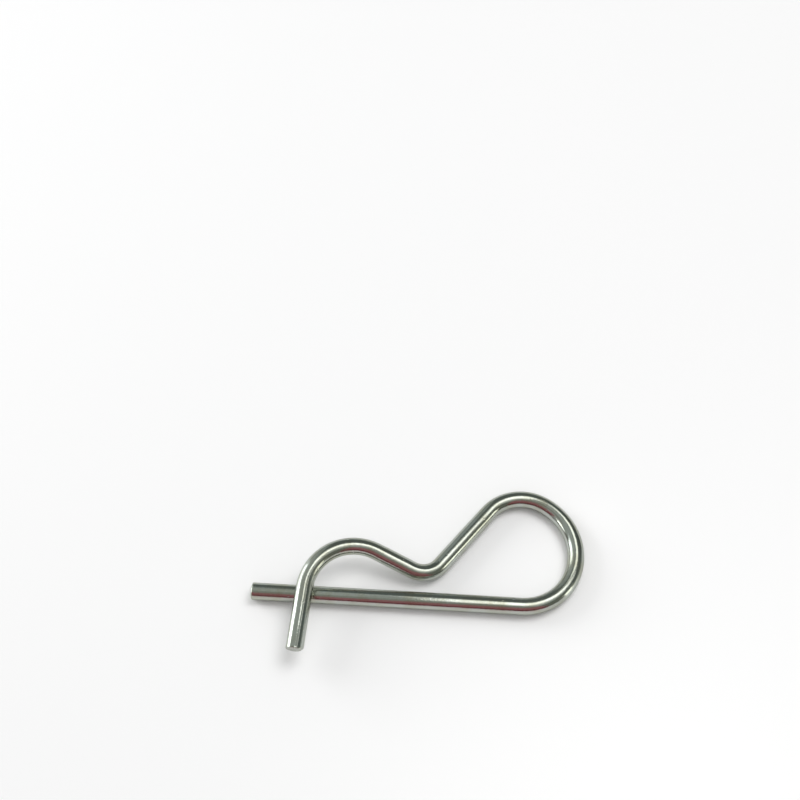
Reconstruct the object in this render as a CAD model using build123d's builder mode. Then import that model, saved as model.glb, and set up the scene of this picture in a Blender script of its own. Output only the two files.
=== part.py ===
from build123d import *

import os
from math import asin, cos, degrees, radians, sin

# Hitch R clip: one length of round spring wire, bent cold into a straight leg, an eye loop and a
# humped limb whose tail crosses over the leg. Millimetres and degrees.
# The clip lies flat. The origin is on the leg's axis, at the centre of the shaft that the leg pins,
# under the crest of the hump. +X runs along the leg to the loop, +Y to the limb, +Z up.

# Wire
wire_diameter = 3.2
leg_tip_radius = 0.4
tail_end_radius = 0.15

# Straight leg, measured both ways from the centre of the shaft
leg_tip_length = 19.9
leg_root_length = 30.1

# Bends, as inside radii and bend angles, in order from the leg
heel_inside_radius = 8.6
heel_bend_angle = 61
loop_inside_radius = 10.3
loop_bend_angle = 88
shoulder_inside_radius = 6.7
shoulder_bend_angle = 84
waist_inside_radius = 3.2
waist_bend_angle = 73
hump_inside_radius = 7.9
hump_bend_angle = 107.5

# Straight runs of the limb, and the two gaps that place it
ramp_length = 7.3
tail_length = 11.4
waist_gap = 2.3
crossing_gap = 1.0

# Centre line of the wire, worked out from the sizes above
wire_radius = wire_diameter / 2
heel_radius = heel_inside_radius + wire_radius
loop_radius = loop_inside_radius + wire_radius
shoulder_radius = shoulder_inside_radius + wire_radius
waist_radius = waist_inside_radius + wire_radius
hump_radius = hump_inside_radius + wire_radius
slant_angle = radians(heel_bend_angle + loop_bend_angle + shoulder_bend_angle - 180)

# The clip as it is bent in one plane. The slanted run comes down until the waist stands its gap
# above the leg, as seen from the top.
with BuildLine() as flat_path:
    leg = Line((-leg_tip_length, 0), (leg_root_length, 0))
    heel = JernArc(leg @ 1, leg % 1, heel_radius, heel_bend_angle)
    loop = JernArc(heel @ 1, heel % 1, loop_radius, loop_bend_angle)
    shoulder = JernArc(loop @ 1, loop % 1, shoulder_radius, shoulder_bend_angle)
    waist_height = wire_diameter + waist_gap
    waist_drop = waist_radius * (1 - cos(slant_angle))
    slant_length = ((shoulder @ 1).Y - waist_height - waist_drop) / sin(slant_angle)
    slant = Line(shoulder @ 1, shoulder @ 1 + (shoulder % 1) * slant_length)
    waist = JernArc(slant @ 1, slant % 1, waist_radius, -waist_bend_angle)
    ramp = Line(waist @ 1, waist @ 1 + (waist % 1) * ramp_length)
    hump = JernArc(ramp @ 1, ramp % 1, hump_radius, hump_bend_angle)
    tail = Line(hump @ 1, hump @ 1 + (hump % 1) * tail_length)

# The wire is then rolled about the slanted run, which lifts the rest of the limb out of the plane
# until the tail passes over the leg with its gap.
slant_axis = Axis(slant @ 0, slant % 0)
crossing = tail @ 0 - (tail % 0) * ((tail @ 0).Y / (tail % 0).Y)
crossing_reach = (crossing - slant @ 0).cross(slant % 0).length
limb_roll = degrees(asin((wire_diameter + crossing_gap) / crossing_reach))
limb = [stretch.rotate(slant_axis, -limb_roll) for stretch in (waist, ramp, hump, tail)]
wire_path = Wire([leg, heel, loop, shoulder, slant] + limb)

# The round wire along that path, with its leg tip tumbled round and its tail sheared flat
with BuildPart() as bent_wire:
    with BuildSketch(Plane(leg @ 0, z_dir=leg % 0)):
        Circle(wire_radius)
    sweep(path=wire_path)
    leg_tip = bent_wire.faces().filter_by(GeomType.PLANE).sort_by_distance(leg @ 0)[0]
    fillet(leg_tip.edges(), leg_tip_radius)
    tail_end = bent_wire.faces().filter_by(GeomType.PLANE).sort_by_distance(limb[-1] @ 1)[0]
    fillet(tail_end.edges(), tail_end_radius)

bent_wire.part.label = "bent_wire"
os.makedirs("parts", exist_ok=True)
export_step(bent_wire.part, "parts/bent_wire.step")
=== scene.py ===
"""Hitch R clip: one length of zinc-plated spring wire, bent cold, in a small light tent.

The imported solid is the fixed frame. The plated wire is worked out again from the same named sizes,
with what its making leaves on it, and stands for that solid.
Metres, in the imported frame: +X along the leg to the loop, +Y to the limb, +Z up.
"""

import logging
import math
from dataclasses import dataclass, field
from enum import Enum, IntEnum
from typing import Any

import bpy
import numpy as np
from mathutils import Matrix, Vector


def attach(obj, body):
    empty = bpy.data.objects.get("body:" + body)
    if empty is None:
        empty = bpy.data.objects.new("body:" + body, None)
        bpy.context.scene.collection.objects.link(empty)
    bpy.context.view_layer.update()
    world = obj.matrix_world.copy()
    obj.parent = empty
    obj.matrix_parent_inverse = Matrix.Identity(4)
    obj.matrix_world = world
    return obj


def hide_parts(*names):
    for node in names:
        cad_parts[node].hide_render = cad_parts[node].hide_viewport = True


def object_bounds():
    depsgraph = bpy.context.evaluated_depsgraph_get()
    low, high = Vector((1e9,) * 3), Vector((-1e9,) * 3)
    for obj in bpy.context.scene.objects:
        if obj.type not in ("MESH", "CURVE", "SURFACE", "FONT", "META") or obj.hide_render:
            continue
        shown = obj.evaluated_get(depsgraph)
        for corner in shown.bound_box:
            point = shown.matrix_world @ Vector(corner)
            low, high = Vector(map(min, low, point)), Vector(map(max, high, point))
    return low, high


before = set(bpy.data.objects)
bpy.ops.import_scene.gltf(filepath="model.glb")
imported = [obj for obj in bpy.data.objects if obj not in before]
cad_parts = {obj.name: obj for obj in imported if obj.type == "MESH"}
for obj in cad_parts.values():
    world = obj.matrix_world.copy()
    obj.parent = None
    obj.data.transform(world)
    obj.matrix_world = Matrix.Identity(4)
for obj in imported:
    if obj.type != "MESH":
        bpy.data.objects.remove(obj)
cad_low, cad_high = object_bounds()

MM = 0.001
IMAGE_SIDE_PX = 800

log = logging.getLogger("hitch_r_clip")


class Stretch(IntEnum):
    """The stretches of the wire, in order from the leg's free end."""

    LEG = 0
    HEEL = 1
    LOOP = 2
    SHOULDER = 3
    SLANT = 4
    WAIST = 5
    RAMP = 6
    HUMP = 7
    TAIL = 8


class WireEnd(Enum):
    """How an end of the wire was finished."""

    TUMBLED = "edges rolled round in a tumbling barrel, the face left slightly domed"
    SHEARED = "cropped by a blade: rolled over where it entered, torn where it broke through"


class RaySight(Enum):
    """Which rays see a piece of the tent."""

    REFLECTIONS = "reflections alone, as a flag beside a product shot is kept out of the frame"
    CLIP = "the clip's reflections alone, so that the floor close by shows no image of it"


def linear_colour(hex_colour: str) -> tuple[float, float, float, float]:
    """Turns an sRGB hex colour into linear RGBA.

    Args:
        hex_colour: Six hex digits after a hash sign.

    Returns:
        Linear red, green and blue, and an alpha of one.
    """
    shares = [int(hex_colour[i : i + 2], 16) / 255 for i in (1, 3, 5)]
    linear = [c / 12.92 if c <= 0.04045 else ((c + 0.055) / 1.055) ** 2.4 for c in shares]
    return (*linear, 1.0)


def add_node(
    tree: bpy.types.NodeTree,
    kind: str,
    inputs: dict[str | int, Any] | None = None,
    **settings: Any,
) -> bpy.types.Node:
    """Adds one node with its settings, and its inputs as values or links.

    Args:
        tree: The node tree that gets the node.
        kind: The node's type name without its ShaderNode prefix.
        inputs: Values or output sockets by input name or number.
        settings: Properties of the node itself.

    Returns:
        The new node.
    """
    node = tree.nodes.new(f"ShaderNode{kind}")
    for key, value in settings.items():
        setattr(node, key, value)
    for key, value in (inputs or {}).items():
        if isinstance(value, bpy.types.NodeSocket):
            tree.links.new(value, node.inputs[key])
        else:
            node.inputs[key].default_value = value
    return node


def new_material(name: str) -> tuple[bpy.types.Material, bpy.types.NodeTree]:
    """Makes an empty node material.

    Args:
        name: The material's name.

    Returns:
        The material and its cleared node tree.
    """
    material = bpy.data.materials.new(name)
    material.use_nodes = True
    material.node_tree.nodes.clear()
    return material, material.node_tree


@dataclass(frozen=True)
class ZincPlate:
    """Bright zinc plate with a clear passivate, on drawn spring-steel wire.

    The plate is a few micrometres thick, so it keeps the shape of what lies under it: the lines that
    the drawing die left along the wire, small pits and dings from the barrel, and the orange peel of
    fibres stretched round the outside of a bend. To the eye that is a near mirror, a little green in
    its grey, whose reflections are crisp but have a slightly broken edge.
    """

    name: str = "bright zinc plate"
    pale_tint: str = "#BEC3BD"
    olive_tint: str = "#B3B5A8"
    # Darker tint mixed into the pits, darkest at their middle
    dark_pit_tint: str = "#84877F"
    # What is left of the reflection at a grazing angle, where a bare metal would turn white
    rim_tint: str = "#D2D4CE"
    least_roughness: float = 0.10
    most_roughness: float = 0.24
    # Drawing lines are some hundredths of a millimetre apart. Drawn at that they would not show, so
    # these are as coarse as the render needs.
    line_spacing_mm: float = 0.42
    line_length_mm: float = 14.0
    line_height_mm: float = 0.005
    ding_spacing_mm: float = 0.9
    ding_size_mm: float = 0.3
    ding_depth_mm: float = 0.05
    ding_chance: float = 0.2
    # Share of the darker tint at the middle of a pit
    dark_pit_share: float = 0.2
    peening_size_mm: float = 0.32
    peening_height_mm: float = 0.010
    bloom_size_mm: float = 3.5
    bloom_from: float = 0.38
    bloom_to: float = 0.66
    peel_size_mm: float = 0.3
    peel_height_mm: float = 0.006
    peel_from_strain: float = 0.04
    peel_to_strain: float = 0.25
    peel_dulling: float = 0.5

    def make(self) -> bpy.types.Material:
        """Makes the plate's material, which reads the wire's straight coordinates in millimetres."""
        material, tree = new_material(self.name)
        place = add_node(tree, "Attribute", attribute_name=BentWire.STRAIGHT).outputs["Vector"]
        strain = add_node(tree, "Attribute", attribute_name=BentWire.STRAIN).outputs["Fac"]
        # Drawing lines: noise squeezed round the wire and drawn out along it
        line_scale = (1 / self.line_length_mm, 1 / self.line_spacing_mm, 1 / self.line_spacing_mm)
        line_place = add_node(tree, "Mapping", {"Vector": place, "Scale": line_scale})
        lines = add_node(
            tree,
            "TexNoise",
            {"Vector": line_place.outputs["Vector"], "Scale": 1.0, "Detail": 3.0},
        ).outputs["Fac"]
        # Bloom: patches where the passivate dried a little duller and more olive
        bloom = add_node(
            tree,
            "TexNoise",
            {"Vector": place, "Scale": 1 / self.bloom_size_mm, "Detail": 4.0, "Roughness": 0.6},
        ).outputs["Fac"]
        bloom_share = add_node(
            tree,
            "MapRange",
            {"Value": bloom, "From Min": self.bloom_from, "From Max": self.bloom_to},
        ).outputs["Result"]
        # Dings: one in five cells of a Voronoi pattern has a round pit at its middle, deep or shallow
        cells = add_node(tree, "TexVoronoi", {"Vector": place, "Scale": 1 / self.ding_spacing_mm})
        ding_reach = self.ding_size_mm / self.ding_spacing_mm
        pit = add_node(
            tree,
            "MapRange",
            {
                "Value": cells.outputs["Distance"],
                "From Min": ding_reach,
                "From Max": 0.0,
            },
            interpolation_type="SMOOTHSTEP",
        ).outputs["Result"]
        lot = add_node(tree, "SeparateColor", {"Color": cells.outputs["Color"]}).outputs["Red"]
        chosen = add_node(
            tree,
            "MapRange",
            {"Value": lot, "From Min": 1 - self.ding_chance, "From Max": 1.0},
        ).outputs["Result"]
        dings = add_node(tree, "Math", {0: pit, 1: chosen}, operation="MULTIPLY").outputs[0]
        # Orange peel, only where the strain says that the fibres were stretched
        peel = add_node(
            tree, "TexNoise", {"Vector": place, "Scale": 1 / self.peel_size_mm, "Detail": 2.0}
        ).outputs["Fac"]
        stretched = add_node(
            tree,
            "MapRange",
            {
                "Value": strain,
                "From Min": self.peel_from_strain,
                "From Max": self.peel_to_strain,
            },
        ).outputs["Result"]
        peel_height = add_node(
            tree, "Math", {0: peel, 1: stretched}, operation="MULTIPLY"
        ).outputs[0]
        # Peening: the barrel leaves shallow facets all over, which break the edge of a reflection
        peening = add_node(
            tree, "TexNoise", {"Vector": place, "Scale": 1 / self.peening_size_mm, "Detail": 1.0}
        ).outputs["Fac"]
        # One height field in millimetres
        height = add_node(
            tree, "Math", {0: lines, 1: self.line_height_mm}, operation="MULTIPLY"
        ).outputs[0]
        height = add_node(
            tree,
            "Math",
            {0: peening, 1: self.peening_height_mm, 2: height},
            operation="MULTIPLY_ADD",
        ).outputs[0]
        height = add_node(
            tree,
            "Math",
            {0: peel_height, 1: self.peel_height_mm, 2: height},
            operation="MULTIPLY_ADD",
        ).outputs[0]
        height = add_node(
            tree,
            "Math",
            {0: dings, 1: -self.ding_depth_mm, 2: height},
            operation="MULTIPLY_ADD",
        ).outputs[0]
        bump = add_node(tree, "Bump", {"Strength": 1.0, "Distance": MM, "Height": height})
        # Colour: two tints of plate, and a darker tint in the chosen pits, strongest at their middle
        tint = add_node(
            tree,
            "Mix",
            {
                "Factor": bloom_share,
                6: linear_colour(self.pale_tint),
                7: linear_colour(self.olive_tint),
            },
            data_type="RGBA",
        ).outputs[2]
        dark_pit_mix = add_node(
            tree, "Math", {0: dings, 1: self.dark_pit_share}, operation="MULTIPLY"
        ).outputs[0]
        colour = add_node(
            tree,
            "Mix",
            {"Factor": dark_pit_mix, 6: tint, 7: linear_colour(self.dark_pit_tint)},
            data_type="RGBA",
        ).outputs[2]
        # Roughness: duller in the bloom and on stretched fibres
        dull = add_node(
            tree,
            "Math",
            {0: stretched, 1: self.peel_dulling, 2: bloom_share},
            operation="MULTIPLY_ADD",
        ).outputs[0]
        roughness = add_node(
            tree,
            "MapRange",
            {
                "Value": dull,
                "From Max": 1 + self.peel_dulling,
                "To Min": self.least_roughness,
                "To Max": self.most_roughness,
            },
        ).outputs["Result"]
        shader = add_node(
            tree,
            "BsdfPrincipled",
            {
                "Base Color": colour,
                "Metallic": 1.0,
                "Specular Tint": linear_colour(self.rim_tint),
                "Roughness": roughness,
                "Normal": bump.outputs["Normal"],
            },
        )
        add_node(tree, "OutputMaterial", {"Surface": shader.outputs["BSDF"]})
        return material


@dataclass(frozen=True)
class PlatedCut:
    """The same zinc plate over a cropped face.

    The blade leaves a burnished band and a torn grain, and plate on torn steel stays matt, so this
    face is an even grey with no clear reflection.
    """

    name: str = "zinc plate over a cropped face"
    pale_tint: str = "#C6C9C2"
    dark_tint: str = "#A4A79E"
    least_roughness: float = 0.34
    most_roughness: float = 0.58
    grain_size_mm: float = 0.16
    grain_height_mm: float = 0.012
    streak_spacing_mm: float = 0.12
    streak_length_mm: float = 1.6

    def make(self) -> bpy.types.Material:
        """Makes the cut's material, which reads the wire's straight coordinates in millimetres."""
        material, tree = new_material(self.name)
        place = add_node(tree, "Attribute", attribute_name=BentWire.STRAIGHT).outputs["Vector"]
        grain = add_node(
            tree, "TexNoise", {"Vector": place, "Scale": 1 / self.grain_size_mm, "Detail": 3.0}
        ).outputs["Fac"]
        # Blade streaks run across the face, in the way that the blade went
        streak_scale = (1.0, 1 / self.streak_length_mm, 1 / self.streak_spacing_mm)
        streak_place = add_node(tree, "Mapping", {"Vector": place, "Scale": streak_scale})
        streaks = add_node(
            tree,
            "TexNoise",
            {"Vector": streak_place.outputs["Vector"], "Scale": 1.0, "Detail": 2.0},
        ).outputs["Fac"]
        both = add_node(tree, "Math", {0: grain, 1: streaks}, operation="ADD").outputs[0]
        height = add_node(
            tree, "Math", {0: both, 1: self.grain_height_mm}, operation="MULTIPLY"
        ).outputs[0]
        bump = add_node(tree, "Bump", {"Strength": 1.0, "Distance": MM, "Height": height})
        share = add_node(
            tree, "MapRange", {"Value": both, "From Min": 0.75, "From Max": 1.25}
        ).outputs["Result"]
        colour = add_node(
            tree,
            "Mix",
            {
                "Factor": share,
                6: linear_colour(self.dark_tint),
                7: linear_colour(self.pale_tint),
            },
            data_type="RGBA",
        ).outputs[2]
        roughness = add_node(
            tree,
            "MapRange",
            {"Value": share, "To Min": self.most_roughness, "To Max": self.least_roughness},
        ).outputs["Result"]
        shader = add_node(
            tree,
            "BsdfPrincipled",
            {
                "Base Color": colour,
                "Metallic": 1.0,
                "Roughness": roughness,
                "Normal": bump.outputs["Normal"],
            },
        )
        add_node(tree, "OutputMaterial", {"Surface": shader.outputs["BSDF"]})
        return material


@dataclass
class WireRows:
    """The rows of rings that make the wire's skin, from the pole of one end to that of the other.

    Attributes:
        along: Place of each row on the path.
        reach: Radius of each row.
        end_share: How far a row takes part in the unevenness of its end face, from 0 to 1.
        is_end: Whether a row belongs to an end face or its edge.
        is_tail: Whether a row is on the tail's half of the wire.
    """

    along: np.ndarray
    reach: np.ndarray
    end_share: np.ndarray
    is_end: np.ndarray
    is_tail: np.ndarray


@dataclass
class WirePath:
    """Points of the wire's centre line, with a square frame at each.

    Attributes:
        points: Places, one row each.
        tangents: Unit directions of travel.
        inward: Unit directions to the left of travel, in the plane of the bend.
        upward: Unit directions square to that plane.
    """

    points: np.ndarray
    tangents: np.ndarray
    inward: np.ndarray
    upward: np.ndarray


@dataclass
class BentWire:
    """The clip: round wire carried along straight runs and tangent bends.

    Lengths are in metres and angles in degrees, under the names that the part's source gives them.
    """

    STRAIGHT = "straight_wire_mm"
    STRAIN = "fibre_strain"
    BAKE_MAP = "OFBake"

    name: str = "plated_wire"
    wire_diameter: float = 3.2 * MM
    leg_tip_radius: float = 0.4 * MM
    tail_end_radius: float = 0.15 * MM
    leg_tip_length: float = 19.9 * MM
    leg_root_length: float = 30.1 * MM
    heel_inside_radius: float = 8.6 * MM
    heel_bend_angle: float = 61.0
    loop_inside_radius: float = 10.3 * MM
    loop_bend_angle: float = 88.0
    shoulder_inside_radius: float = 6.7 * MM
    shoulder_bend_angle: float = 84.0
    waist_inside_radius: float = 3.2 * MM
    waist_bend_angle: float = 73.0
    hump_inside_radius: float = 7.9 * MM
    hump_bend_angle: float = 107.5
    ramp_length: float = 7.3 * MM
    tail_length: float = 11.4 * MM
    waist_gap: float = 2.3 * MM
    crossing_gap: float = 1.0 * MM
    # What the making leaves: a bend draws the wire in by this share of its strain
    bend_flattening: float = 0.08
    bend_blend: float = 1.5 * MM
    tip_dome: float = 0.16 * MM
    crop_slant: float = 0.1 * MM
    crop_rollover: float = 0.34 * MM
    crop_reach: float = 2.0 * MM
    crop_tear: float = 0.05 * MM
    crop_lump: float = 0.012 * MM
    # Where the blade's marks lie on the tail's face, as shares of the wire's radius
    entry_from: float = 0.35
    tear_line: float = -0.2
    tear_width: float = 0.12
    # Mesh
    ring_spacing: float = 0.24 * MM
    ring_points: int = 72
    face_rows: int = 9
    edge_rows: int = 7
    map_lanes: int = 4
    map_margin: float = 0.012

    @property
    def wire_radius(self) -> float:
        """Half the wire's diameter."""
        return self.wire_diameter / 2

    def stretches(self) -> tuple[np.ndarray, np.ndarray]:
        """Works out the length and the curvature of each stretch.

        A bend's length is its centre-line radius times its angle, and it rises by that radius times
        the fall of the heading's cosine. The slanted run comes down from the end of the shoulder until
        the waist stands its gap above the leg: it is the height still to lose, over the sine of its
        slope.

        Returns:
            Lengths and curvatures, one for each stretch. A curvature to the left is positive.
        """
        eye_inside = (self.heel_inside_radius, self.loop_inside_radius, self.shoulder_inside_radius)
        eye_angles = (self.heel_bend_angle, self.loop_bend_angle, self.shoulder_bend_angle)
        eye_radii, eye_turns = np.array(eye_inside) + self.wire_radius, np.radians(eye_angles)
        waist = self.waist_inside_radius + self.wire_radius
        hump = self.hump_inside_radius + self.wire_radius
        after = np.cumsum(eye_turns)
        rise = np.sum(eye_radii * (np.cos(after - eye_turns) - np.cos(after)))
        slope = after[-1] - np.pi
        waist_drop = waist * (1 - math.cos(slope))
        waist_height = self.wire_diameter + self.waist_gap
        slant = (rise - waist_height - waist_drop) / math.sin(slope)
        lengths = [
            self.leg_tip_length + self.leg_root_length,
            *(eye_radii * eye_turns),
            slant,
            waist * math.radians(self.waist_bend_angle),
            self.ramp_length,
            hump * math.radians(self.hump_bend_angle),
            self.tail_length,
        ]
        curvatures = [0, *(1 / eye_radii), 0, -1 / waist, 0, 1 / hump, 0]
        return np.array(lengths), np.array(curvatures, float)

    def length(self) -> float:
        """Length of the whole centre line."""
        return float(self.stretches()[0].sum())

    def path(self, along: np.ndarray) -> WirePath:
        """Finds the centre line and its frame at distances along it.

        A run of constant curvature moves on by its chord, which is the run times the sine of half
        its turn over that half turn, in the direction midway through the turn. Chords added up give
        the flat path. The wire is then rolled about the slanted run, which lifts the limb until the
        tail passes over the leg with its gap. The roll grows evenly along that run, so that the rings
        twist and do not jump.

        Args:
            along: Distances from the leg's free end.

        Returns:
            The path at those distances.
        """
        lengths, curvatures = self.stretches()
        starts = np.concatenate([[0.0], np.cumsum(lengths)[:-1]])
        turns = lengths * curvatures
        headings = np.concatenate([[0.0], np.cumsum(turns)[:-1]])

        def chord(heading: np.ndarray, turn: np.ndarray, run: np.ndarray) -> np.ndarray:
            """Chord vectors of runs that start at a heading and make a turn."""
            middle = heading + turn / 2
            size = run * np.sinc(turn / (2 * np.pi))
            return np.stack([size * np.cos(middle), size * np.sin(middle), 0 * middle], 1)

        first = np.array([[-self.leg_tip_length, 0.0, 0.0]])
        corners = np.cumsum(np.concatenate([first, chord(headings, turns, lengths)]), 0)
        at = np.searchsorted(starts, along, side="right") - 1
        run = along - starts[at]
        turned = curvatures[at] * run
        points = corners[at] + chord(headings[at], turned, run)
        heading = headings[at] + turned
        tangents = np.stack([np.cos(heading), np.sin(heading), 0 * heading], 1)
        upward = np.tile([0.0, 0.0, 1.0], (len(along), 1))

        def unit(stretch: Stretch) -> np.ndarray:
            """Flat direction of travel at the start of a stretch."""
            return np.array([math.cos(headings[stretch]), math.sin(headings[stretch]), 0.0])

        axis, pivot = unit(Stretch.SLANT), corners[Stretch.SLANT]
        tail, tail_start = unit(Stretch.TAIL), corners[Stretch.TAIL]
        crossing = tail_start - tail * (tail_start[1] / tail[1])
        crossing_reach = np.linalg.norm(np.cross(crossing - pivot, axis))
        limb_roll = math.asin((self.wire_diameter + self.crossing_gap) / crossing_reach)
        share = (along - starts[Stretch.SLANT]) / lengths[Stretch.SLANT]
        roll = -limb_roll * np.clip(share, 0.0, 1.0)[:, None]

        def rolled(vectors: np.ndarray) -> np.ndarray:
            """Vectors turned about the slanted run, by Rodrigues' formula."""
            lengthwise = (vectors @ axis)[:, None] * axis
            turned_part = np.cross(axis, vectors) * np.sin(roll)
            return lengthwise + (vectors - lengthwise) * np.cos(roll) + turned_part

        points = pivot + rolled(points - pivot)
        tangents, upward = rolled(tangents), rolled(upward)
        return WirePath(points, tangents, np.cross(upward, tangents), upward)

    def strain(self, along: np.ndarray) -> np.ndarray:
        """Strain of the wire's left side at distances along it.

        It is the wire's radius times the curvature, as a moving mean over the blend at each bend's
        ends: the turn made across the blend, over its length.

        Args:
            along: Distances from the leg's free end.

        Returns:
            Signed strains, positive where the left side is the inside of a bend.
        """
        lengths, curvatures = self.stretches()
        marks = np.concatenate([[0.0], np.cumsum(lengths)])
        turned = np.concatenate([[0.0], np.cumsum(lengths * curvatures)])
        ahead = np.interp(along + self.bend_blend, marks, turned)
        behind = np.interp(along - self.bend_blend, marks, turned)
        return self.wire_radius * (ahead - behind) / (2 * self.bend_blend)

    def rows(self) -> WireRows:
        """Lays out the rows of the skin.

        An end is rows of growing radius on its flat face, then a quarter circle of the edge's radius:
        the row moves on by the radius times one less the cosine, and grows by the radius times the
        sine. The body has evenly spaced rows of the wire's radius. The blade drags the wire for a short
        reach behind the tail's edge, so the share of its cut dies out there in a smooth step.

        Returns:
            The rows, from the pole at the leg's tip to that at the tail's end.
        """
        length, radius = self.length(), self.wire_radius
        sweep = np.linspace(0.0, np.pi / 2, self.edge_rows)
        faces = np.linspace(0.0, 1.0, self.face_rows)[:-1]
        along, reach = [], []
        for edge in (self.leg_tip_radius, self.tail_end_radius):
            flat = radius - edge
            along.append(np.concatenate([0 * faces, edge * (1 - np.cos(sweep))]))
            reach.append(np.concatenate([flat * faces, flat + edge * np.sin(sweep)]))
        body_start, body_end = self.leg_tip_radius, length - self.tail_end_radius
        gaps = round((body_end - body_start) / self.ring_spacing)
        body = np.linspace(body_start, body_end, gaps + 1)[1:-1]
        tip_share = np.concatenate([0 * faces + 1, np.cos(sweep)])
        nearness = np.clip(1 - (body_end - body) / self.crop_reach, 0.0, 1.0)
        drag = nearness**2 * (3 - 2 * nearness)
        return WireRows(
            along=np.concatenate([along[0], body, length - along[1][::-1]]),
            reach=np.concatenate([reach[0], 0 * body + radius, reach[1][::-1]]),
            end_share=np.concatenate([tip_share, drag, 0 * along[1] + 1]),
            is_end=np.concatenate([along[0] >= 0, body < 0, along[1] >= 0]),
            is_tail=np.concatenate([along[0] < 0, body > length / 2, along[1] >= 0]),
        )

    def end_depth(self, end: WireEnd, across: np.ndarray, aside: np.ndarray) -> np.ndarray:
        """Depth of an end face under its flat plane, always inwards.

        A tumbled face is domed: its depth grows with the square of the radius. A sheared one leans
        evenly to the side where the blade entered, rolls over with the square of the way past that,
        drops by a smooth step where it tore through, and has lumps there that are a product of two
        slow waves.

        Args:
            end: How the end was finished.
            across: Places on the face along the blade's way, as shares of the wire's radius.
            aside: Places square to that, as shares of the wire's radius.

        Returns:
            Depths of the same shape as the places.
        """
        if end is WireEnd.TUMBLED:
            return self.tip_dome * (across**2 + aside**2)
        entry = np.clip((across - self.entry_from) / (1 - self.entry_from), 0.0, 1.0)
        past_tear = (across - self.tear_line) / self.tear_width + np.sin(3 * aside)
        torn = 0.5 - 0.5 * np.tanh(past_tear)
        lumps = np.sin(9 * across + 2 * np.sin(5 * aside)) * np.cos(8 * aside + 3 * across)
        lean = self.crop_slant * (1 + across) / 2
        tear = torn * (self.crop_tear + self.crop_lump * lumps)
        return lean + self.crop_rollover * entry**2 + tear

    def skin(self) -> tuple[np.ndarray, np.ndarray, np.ndarray]:
        """Works out the wire's surface on a grid of rows and points round each row.

        A point is the centre line's point, plus the row's radius times the cosine of the angle along
        the inward direction and its sine along the upward one, less the depth of the end face along
        the tangent. In a bend the inward part shrinks by the flattening times the strain.

        Returns:
            The points, the same points on the straight wire in millimetres, and the strain of the
            fibre at each point, positive where it is stretched.
        """
        rows = self.rows()
        path, strain = self.path(rows.along), self.strain(rows.along)
        angle = np.linspace(0.0, 2 * np.pi, self.ring_points, endpoint=False)
        cosine, sine = np.cos(angle), np.sin(angle)
        across = (rows.reach / self.wire_radius)[:, None] * cosine
        aside = (rows.reach / self.wire_radius)[:, None] * sine
        tip = -self.end_depth(WireEnd.TUMBLED, across, aside)
        tail = self.end_depth(WireEnd.SHEARED, across, aside)
        depth = np.where(rows.is_tail[:, None], tail, tip) * rows.end_share[:, None]
        inward = rows.reach * (1 - self.bend_flattening * np.abs(strain))
        points = (
            path.points[:, None]
            + (inward[:, None] * cosine)[..., None] * path.inward[:, None]
            + (rows.reach[:, None] * sine)[..., None] * path.upward[:, None]
            - depth[..., None] * path.tangents[:, None]
        )
        lengthwise = np.broadcast_to(rows.along[:, None], depth.shape) - depth
        radius_mm = self.wire_radius / MM
        straight = np.stack([lengthwise / MM, across * radius_mm, aside * radius_mm], -1)
        return points, straight, -strain[:, None] * across

    def bake_places(self) -> np.ndarray:
        """Unrolls the skin into lanes of a square map.

        The side of the wire is cut along one fibre and into lanes of equal length, one above the
        other, and the two end faces are discs in a last, lower lane.

        Returns:
            Map places of the four corners of each grid cell, by row and point.
        """
        rows, lanes = self.rows(), self.map_lanes
        lane_height, margin = 1 / (lanes + 1), self.map_margin
        angle = np.arange(self.ring_points + 1) / self.ring_points
        row_first = np.arange(len(rows.along) - 1)
        corner_rows = np.stack([row_first, row_first, row_first + 1, row_first + 1], 1)
        place = rows.along / self.length() * lanes
        lane = np.minimum(np.floor(place[row_first] + 1e-9), lanes - 1)[:, None]
        u = margin + (1 - 2 * margin) * np.clip(place[corner_rows] - lane, 0.0, 1.0)
        columns = np.arange(self.ring_points)
        corner_columns = np.stack([columns, columns + 1, columns + 1, columns], 1)
        v = margin + (lane_height - 2 * margin) * angle[corner_columns]
        side = np.empty((len(row_first), self.ring_points, 4, 2))
        side[..., 0] = u[:, None]
        side[..., 1] = v[None] + (lane * lane_height)[:, :, None]
        disc = (lane_height / 2 - margin) * (rows.reach / self.wire_radius)[corner_rows]
        turn = 2 * np.pi * angle[corner_columns]
        centre = np.where(rows.is_tail[row_first], 0.75, 0.25)[:, None, None]
        ends = np.empty_like(side)
        ends[..., 0] = centre + disc[:, None] * np.cos(turn)[None]
        ends[..., 1] = 1 - lane_height / 2 + disc[:, None] * np.sin(turn)[None]
        is_face = rows.is_end[row_first] & rows.is_end[row_first + 1]
        return np.where(is_face[:, None, None, None], ends, side)

    def build(self) -> bpy.types.Object:
        """Builds the wire's mesh, one closed skin with a pole at each end.

        Returns:
            The wire, at the origin, with its map, its attributes and no material yet.
        """
        points, straight, strain = self.skin()
        count, around = points.shape[:2]
        inner = np.arange((count - 2) * around).reshape(count - 2, around) + 1
        tail_pole = inner.size + 1
        following = np.roll(inner, -1, 1)
        quads = np.stack([inner[:-1], following[:-1], following[1:], inner[1:]], -1)
        tip = np.stack([0 * inner[0], following[0], inner[0]], -1)
        tail = np.stack([inner[-1], following[-1], 0 * inner[-1] + tail_pole], -1)

        def flat(grid: np.ndarray) -> np.ndarray:
            """Grid values as one row for each vertex, with each pole once."""
            return np.concatenate([grid[0, :1], grid[1:-1].reshape(-1, *grid.shape[2:]), grid[-1, :1]])

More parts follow.
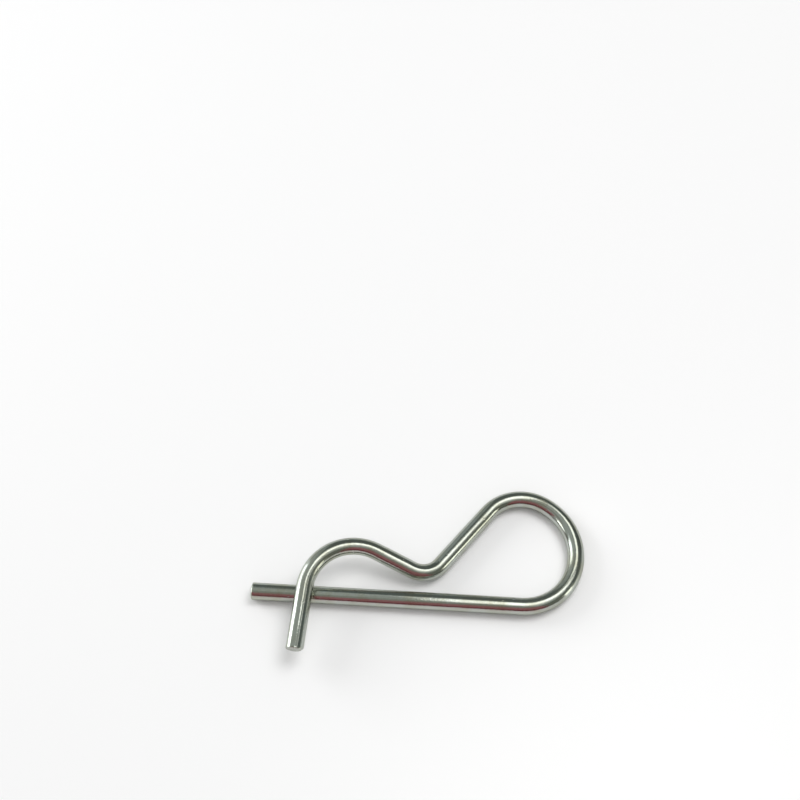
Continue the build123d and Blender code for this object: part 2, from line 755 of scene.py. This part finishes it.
        mesh = bpy.data.meshes.new(self.name)
        faces = tip.tolist() + quads.reshape(-1, 4).tolist() + tail.tolist()
        mesh.from_pydata(flat(points).tolist(), [], faces)
        mesh.polygons.foreach_set("use_smooth", np.ones(len(faces), bool))
        places = mesh.attributes.new(self.STRAIGHT, "FLOAT_VECTOR", "POINT")
        places.data.foreach_set("vector", flat(straight).astype(np.float32).ravel())
        strains = mesh.attributes.new(self.STRAIN, "FLOAT", "POINT")
        strains.data.foreach_set("value", flat(strain).astype(np.float32))
        bake = self.bake_places()
        tip_map, tail_map = bake[0][:, [0, 2, 3]], bake[-1][:, [0, 1, 2]]
        corners = [tip_map.reshape(-1, 2), bake[1:-1].reshape(-1, 2), tail_map.reshape(-1, 2)]
        layer = mesh.uv_layers.new(name=self.BAKE_MAP)
        layer.uv.foreach_set("vector", np.concatenate(corners).astype(np.float32).ravel())
        mesh.update()
        wire = bpy.data.objects.new(self.name, mesh)
        bpy.context.scene.collection.objects.link(wire)
        return wire

    def dress(self, wire: bpy.types.Object, plate: ZincPlate, cut: PlatedCut) -> None:
        """Gives the wire its plate, and the cropped tail face its own.

        Args:
            wire: The built wire.
            plate: Finish of the drawn surface and of the tumbled tip.
            cut: Finish of the cropped face.
        """
        wire.data.materials.append(plate.make())
        wire.data.materials.append(cut.make())
        cells = np.zeros(len(wire.data.polygons), np.int32)
        cells[-self.face_rows * self.ring_points :] = 1
        wire.data.polygons.foreach_set("material_index", cells)

    def place(self, wire: bpy.types.Object) -> None:
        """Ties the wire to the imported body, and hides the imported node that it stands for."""
        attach(wire, "root")
        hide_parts("bent_wire")


def direction(azimuth: np.ndarray | float, elevation: np.ndarray | float) -> np.ndarray:
    """Unit vectors towards places round the object.

    Args:
        azimuth: Degrees from +Y towards +X.
        elevation: Degrees above the floor.

    Returns:
        Vectors, on a last axis of three.
    """
    turn, lift = np.radians(azimuth), np.radians(elevation)
    flat = np.cos(lift)
    return np.stack([np.sin(turn) * flat, np.cos(turn) * flat, np.sin(lift) + 0 * turn], -1)


@dataclass(frozen=True)
class TentPiece:
    """A plain piece of the light tent: a surface of one colour that only reflections see.

    Bright metal is only what it reflects, so these give it its white, dark and coloured bands. They
    are kept out of the frame and cast no shadow. A strength of 1 shows the colour as it is written.
    """

    name: str
    colour: str
    strength: float
    sight: RaySight = field(default=RaySight.REFLECTIONS, kw_only=True)

    def points(self) -> np.ndarray:
        """Gives the surface as a grid of points about the clip, in metres.

        Returns:
            An array of rows by columns by 3.
        """
        raise NotImplementedError

    def build(self, centre: np.ndarray) -> bpy.types.Object:
        """Builds the piece from its grid of points.

        Args:
            centre: The point that the tent stands round.

        Returns:
            The piece.
        """
        points = centre + self.points()
        index = np.arange(points[..., 0].size).reshape(points.shape[:2])
        quads = np.stack([index[:-1, :-1], index[:-1, 1:], index[1:, 1:], index[1:, :-1]], -1)
        mesh = bpy.data.meshes.new(self.name)
        mesh.from_pydata(points.reshape(-1, 3).tolist(), [], quads.reshape(-1, 4).tolist())
        material, tree = new_material(f"{self.name} paint")
        surface = add_node(
            tree, "Emission", {"Color": linear_colour(self.colour), "Strength": self.strength}
        ).outputs["Emission"]
        if self.sight is RaySight.CLIP:
            clear = add_node(tree, "BsdfTransparent").outputs["BSDF"]
            surface = add_node(tree, "AddShader", {0: surface, 1: clear}).outputs["Shader"]
        add_node(tree, "OutputMaterial", {"Surface": surface})
        mesh.materials.append(material)
        piece = bpy.data.objects.new(self.name, mesh)
        bpy.context.scene.collection.objects.link(piece)
        piece.visible_camera = piece.visible_diffuse = False
        piece.visible_shadow = piece.visible_transmission = False
        return piece


@dataclass(frozen=True)
class Card(TentPiece):
    """A card bent to part of a sphere about the clip, between two azimuths and two elevations."""

    azimuth: tuple[float, float]
    elevation: tuple[float, float]
    distance: float = 1.0
    steps: int = 24

    def points(self) -> np.ndarray:
        """Gives a grid of azimuth and elevation, each point at the card's distance.

        Returns:
            An array of rows by columns by 3.
        """
        azimuth, elevation = np.meshgrid(
            np.linspace(*self.azimuth, self.steps), np.linspace(*self.elevation, self.steps)
        )
        return self.distance * direction(azimuth, elevation)


@dataclass(frozen=True)
class Diffuser(TentPiece):
    """A flat four-cornered sheet of diffuser above the clip, its corners in order round it."""

    height: float
    corners: tuple[tuple[float, float], ...]

    def points(self) -> np.ndarray:
        """Gives the four corners at the sheet's height.

        Returns:
            An array of 2 by 2 by 3.
        """
        near_left, near_right, far_right, far_left = self.corners
        flat = np.array([[near_left, near_right], [far_left, far_right]])
        return np.concatenate([flat, np.full((2, 2, 1), self.height)], axis=-1)


@dataclass(frozen=True)
class Lamp:
    """A soft rectangular lamp that faces the clip, as bright as its radiance says: 1 is white.

    It lights the floor. What the metal mirrors in its place is the piece of the tent before it.
    """

    name: str
    azimuth: float
    elevation: float
    distance: float
    width: float
    height: float
    radiance: float
    colour: str

    def build(self, centre: np.ndarray) -> bpy.types.Object:
        """Builds the lamp. Its power is its radiance times pi times its area.

        Args:
            centre: The point that the lamp faces.

        Returns:
            The lamp.
        """
        light = bpy.data.lights.new(self.name, "AREA")
        light.shape = "RECTANGLE"
        light.size, light.size_y = self.width, self.height
        light.energy = self.radiance * math.pi * self.width * self.height
        light.color = linear_colour(self.colour)[:3]
        lamp = bpy.data.objects.new(self.name, light)
        away = Vector(direction(self.azimuth, self.elevation).tolist())
        lamp.location = Vector(centre.tolist()) + self.distance * away
        lamp.rotation_euler = (-away).to_track_quat("-Z", "Y").to_euler()
        lamp.visible_camera = lamp.visible_glossy = False
        bpy.context.scene.collection.objects.link(lamp)
        return lamp


@dataclass(frozen=True)
class FloorSheet:
    """Satin white plastic sheet under the clip, which fades into the white of the world at its rim.

    The sheet is white through its depth and satin on top, so it is a plain pale floor from every
    side. At a low angle it takes on a soft shade of the tent's walls, but no image of them.
    """

    name: str = "satin white sheet"
    colour: str = "#FAFAFA"
    roughness: float = 0.32
    gloss: float = 0.5
    fade_from: float = 0.16
    fade_to: float = 0.4

    def make(self) -> bpy.types.Material:
        """Makes the sheet's material, on Object coordinates from the floor's middle."""
        material, tree = new_material(self.name)
        place = add_node(tree, "TexCoord").outputs["Object"]
        reach = add_node(tree, "VectorMath", {0: place}, operation="LENGTH").outputs["Value"]
        fade = add_node(
            tree,
            "MapRange",
            {"Value": reach, "From Min": self.fade_from, "From Max": self.fade_to},
            interpolation_type="SMOOTHSTEP",
        ).outputs["Result"]
        sheet = add_node(
            tree,
            "BsdfPrincipled",
            {
                "Base Color": linear_colour(self.colour),
                "Roughness": self.roughness,
                "Specular IOR Level": self.gloss,
            },
        )
        clear = add_node(tree, "BsdfTransparent")
        surface = add_node(
            tree,
            "MixShader",
            {"Fac": fade, 1: sheet.outputs["BSDF"], 2: clear.outputs["BSDF"]},
        )
        add_node(tree, "OutputMaterial", {"Surface": surface.outputs["Shader"]})
        return material


@dataclass
class Studio:
    """The light tent: pale floor, soft lamps, the pieces round them, white world and the camera.

    Attributes:
        camera_place: Where the camera stands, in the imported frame.
        camera_aim: The point at the middle of its picture, in the same frame.
        focal_px: Focal length in pixels of the square picture.
    """

    camera_place: tuple[float, float, float] = (12.780 * MM, -80.861 * MM, 186.083 * MM)
    camera_aim: tuple[float, float, float] = (5.065 * MM, 44.417 * MM, 0.0)
    focal_px: float = 1079.2
    sensor: float = 36.0
    centre: tuple[float, float, float] = (11.0 * MM, 6.0 * MM, 0.0)
    floor_radius: float = 0.45
    world_colour: str = "#FFFFFF"
    world_light: float = 0.54
    tent: tuple[TentPiece, ...] = (
        # Wall, and grey, dark and red cards before it
        Card("tent_wall", "#AFB3AE", 1.0, (-180, 180), (0, 90), distance=1.30, steps=64),
        Card("grey_back_left_card", "#9DA4A2", 1.0, (-31, 3), (8, 70), distance=1.25),
        Card("grey_front_top_card", "#96978F", 1.0, (150, 268), (42, 70), distance=1.20),
        Card("dark_back_flag", "#656B68", 1.0, (-17, 92), (15, 62), distance=1.15),
        Card("dark_right_back_flag", "#5E625E", 1.0, (30, 65), (6, 37), distance=1.10),
        Card("dark_side_flag", "#74776F", 1.0, (94, 146), (0, 46), distance=1.10),
        Card("grey_left_card", "#8A8D87", 1.0, (-100, -77), (0, 16), distance=1.10),
        Card("red_front_card_top", "#A07073", 1.0, (142, 244), (17, 47), distance=1.08),
        Card("red_front_card", "#7A4048", 1.0, (138, 238), (0, 19), distance=1.05),
        # Window and lamps, each with a dimmer edge or frame where it shows one
        Card("left_window_frame", "#F8FFFD", 0.9, (-79, -45), (0, 41), distance=1.03),
        Card("left_window", "#FBFFFF", 2.6, (-77, -50), (0, 30)),
        Card("left_front_lamp", "#FFFFF4", 1.8, (-111, -99), (5, 27)),
        Card("right_lamp_edge", "#FFFFF0", 1.0, (86, 100), (0, 8)),
        Card("right_lamp", "#FFFFF0", 2.0, (98, 112), (0, 20)),
        # Overhead sheet, with a dimmer edge
        Diffuser(
            "overhead_diffuser_edge",
            "#FFFFFA",
            1.0,
            0.72,
            ((0.01, -0.28), (0.37, -0.25), (0.64, 0.22), (0.01, 0.32)),
        ),
        Diffuser(
            "overhead_diffuser",
            "#FFFFFA",
            2.2,
            0.70,
            ((0.01, -0.16), (0.36, 0.00), (0.36, 0.24), (0.01, 0.22)),
        ),
        # Pieces close by, which only some stretches of the wire mirror
        Card("tail_card", "#FBFFFF", 2.4, (-106, -85), (0, 23), 0.063, sight=RaySight.CLIP),
        Diffuser(
            "grey_tail_flag",
            "#AFB3AE",
            0.9,
            0.039,
            ((-0.012, -0.019), (0.0015, -0.019), (0.0015, 0.0), (-0.012, 0.0)),
        ),
        Diffuser(
            "grey_tail_end_flag",
            "#AFB3AE",
            1.0,
            0.039,
            ((-0.023, -0.0186), (-0.012, -0.0186), (-0.012, -0.0123), (-0.023, -0.0123)),
        ),
        Diffuser(
            "loop_diffuser",
            "#FFFFF6",
            1.8,
            0.03,
            ((0.028, 0.014), (0.042, 0.014), (0.042, 0.034), (0.028, 0.034)),
        ),
    )
    lamps: tuple[Lamp, ...] = (
        Lamp("overhead_lamp", 50, 64, 0.9, 0.5, 0.5, 4.0, "#FFFFFF"),
        Lamp("window_lamp", -66, 20, 0.9, 0.5, 0.5, 5.0, "#FFFFFF"),
    )

    def build_floor(self, height: float) -> bpy.types.Object:
        """Builds the floor, a disc whose rings grow evenly from its middle.

        Args:
            height: Level of the floor.

        Returns:
            The floor.
        """
        rings, points = 12, 64
        radius = np.linspace(0.0, self.floor_radius, rings)[1:, None]
        turn = np.linspace(0.0, 2 * np.pi, points, endpoint=False)[None]
        flat = np.stack([radius * np.cos(turn), radius * np.sin(turn), 0 * radius * turn], -1)
        vertices = np.concatenate([np.zeros((1, 3)), flat.reshape(-1, 3)])
        index = 1 + np.arange((rings - 1) * points).reshape(rings - 1, points)
        ahead = np.roll(index, -1, 1)
        quads = np.stack([index[:-1], index[1:], ahead[1:], ahead[:-1]], -1).reshape(-1, 4)
        middle = np.stack([0 * index[0], index[0], ahead[0]], -1)
        mesh = bpy.data.meshes.new("floor_sheet")
        mesh.from_pydata(vertices.tolist(), [], middle.tolist() + quads.tolist())
        mesh.materials.append(FloorSheet().make())
        floor = bpy.data.objects.new("floor_sheet", mesh)
        floor.location = (self.centre[0], self.centre[1], height)
        bpy.context.scene.collection.objects.link(floor)
        return floor

    def build_world(self) -> None:
        """Makes the world: white to the camera and in reflections, softer as light."""
        world = bpy.data.worlds.new("white_world")
        world.use_nodes = True
        tree = world.node_tree
        tree.nodes.clear()
        rays = add_node(tree, "LightPath")
        seen = add_node(
            tree,
            "Math",
            {0: rays.outputs["Is Camera Ray"], 1: rays.outputs["Is Glossy Ray"]},
            operation="MAXIMUM",
        ).outputs[0]
        seen = add_node(
            tree,
            "Math",
            {0: seen, 1: rays.outputs["Is Transmission Ray"]},
            operation="MAXIMUM",
        ).outputs[0]
        strength = add_node(
            tree, "MapRange", {"Value": seen, "To Min": self.world_light, "To Max": 1.0}
        ).outputs["Result"]
        sky = add_node(
            tree, "Background", {"Color": linear_colour(self.world_colour), "Strength": strength}
        )
        add_node(tree, "OutputWorld", {"Surface": sky.outputs["Background"]})
        bpy.context.scene.world = world

    def build_camera(self) -> bpy.types.Object:
        """Makes the camera at the viewing angle of the picture that the clip is made from.

        Returns:
            The camera, which is the scene's own.
        """
        data = bpy.data.cameras.new("camera")
        data.sensor_width = self.sensor
        data.lens = self.focal_px * self.sensor / IMAGE_SIDE_PX
        data.clip_start, data.clip_end = 10 * MM, 10.0
        camera = bpy.data.objects.new("camera", data)
        place, aim = Vector(self.camera_place), Vector(self.camera_aim)
        camera.location = place
        camera.rotation_euler = (aim - place).to_track_quat("-Z", "Y").to_euler()
        bpy.context.scene.collection.objects.link(camera)
        bpy.context.scene.camera = camera
        return camera

    def build(self, wire: bpy.types.Object, floor_height: float) -> None:
        """Builds the tent round the clip.

        Args:
            wire: The built clip.
            floor_height: Level of the surface that the clip lies on.
        """
        middle = np.array(self.centre)
        log.info("floor: %s", self.build_floor(floor_height).name)
        clip_alone = bpy.data.collections.new("clip_alone")
        clip_alone.objects.link(wire)
        for piece in self.tent:
            built = piece.build(middle)
            if piece.sight is RaySight.CLIP:
                built.light_linking.receiver_collection = clip_alone
            log.info("tent: %s", built.name)
        for lamp in self.lamps:
            log.info("lamp: %s", lamp.build(middle).name)
        self.build_world()
        self.build_camera()
        bpy.context.scene.view_settings.view_transform = "Standard"


def main() -> None:
    """Builds the wire and the tent in order, and reports each piece."""
    logging.basicConfig(level=logging.INFO, format="%(name)s: %(message)s")
    clip = BentWire()
    wire = clip.build()
    clip.dress(wire, ZincPlate(), PlatedCut())
    clip.place(wire)
    log.info("piece: %s, %d faces", wire.name, len(wire.data.polygons))
    Studio().build(wire, floor_height=cad_low.z)


if __name__ == "__main__":
    main()
